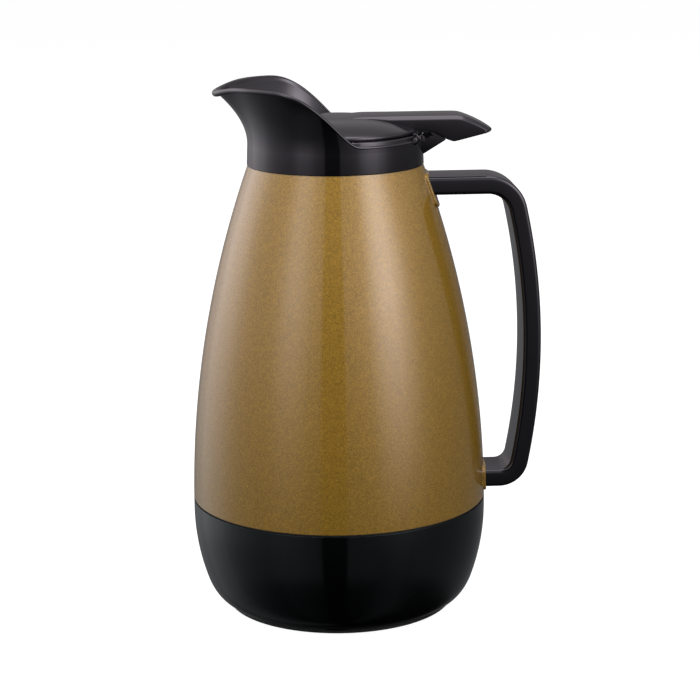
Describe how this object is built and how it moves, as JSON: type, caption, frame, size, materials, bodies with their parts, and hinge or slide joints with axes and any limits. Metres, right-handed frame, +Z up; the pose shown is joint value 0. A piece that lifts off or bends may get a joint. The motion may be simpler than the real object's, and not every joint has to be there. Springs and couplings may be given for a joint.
{
  "type": "coffee carafe",
  "caption": "Free-standing thermal coffee carafe: tapered shell over a glass vacuum liner, spouted collar, strap handle, and a hinged lid that a thumb lever lifts.",
  "frame": {"origin": "on the axis of the body, in the plane that the foot ring stands on", "axes": "+Z up along the axis of the body, +X towards the handle, -X towards the spout, Y across"},
  "size_m": [0.1542, 0.13, 0.2334],
  "materials": {
    "gold_paint": "gold flake paint under clear gloss",
    "black_gloss": "polished moulding",
    "black_satin": "satin moulding",
    "soft_black": "matt",
    "soft_grey": "matt",
    "silvered_glass": "silvered on the vacuum side",
    "clear_glass": "silvered on the vacuum side",
    "steel": "plain"
  },
  "bodies": {
    "carafe": {"outer_shell": "gold_paint", "base_cup": "black_gloss", "foot_ring": "soft_black", "base_seal_ring": "soft_black", "liner_cushion": "soft_grey", "glass_outer_bottle": "silvered_glass", "glass_inner_bottle": "clear_glass", "liner_spacers": "soft_grey", "neck_gasket": "soft_grey", "pour_collar": "black_gloss", "hinge_pin": "steel", "handle": "black_gloss", "handle_screws": "steel", "handle_washers": "steel"},
    "lid": {"lid_cover": "black_gloss", "lid_plug": "black_satin", "lid_gasket": "soft_grey"}
  },
  "joints": [
    {"name": "lid_hinge", "type": "hinge", "parent": "carafe", "child": "lid", "pos_m": [0.033, 0, 0.2083], "axis": [0, 1, 0], "range_deg": [0, 28]}
  ]
}
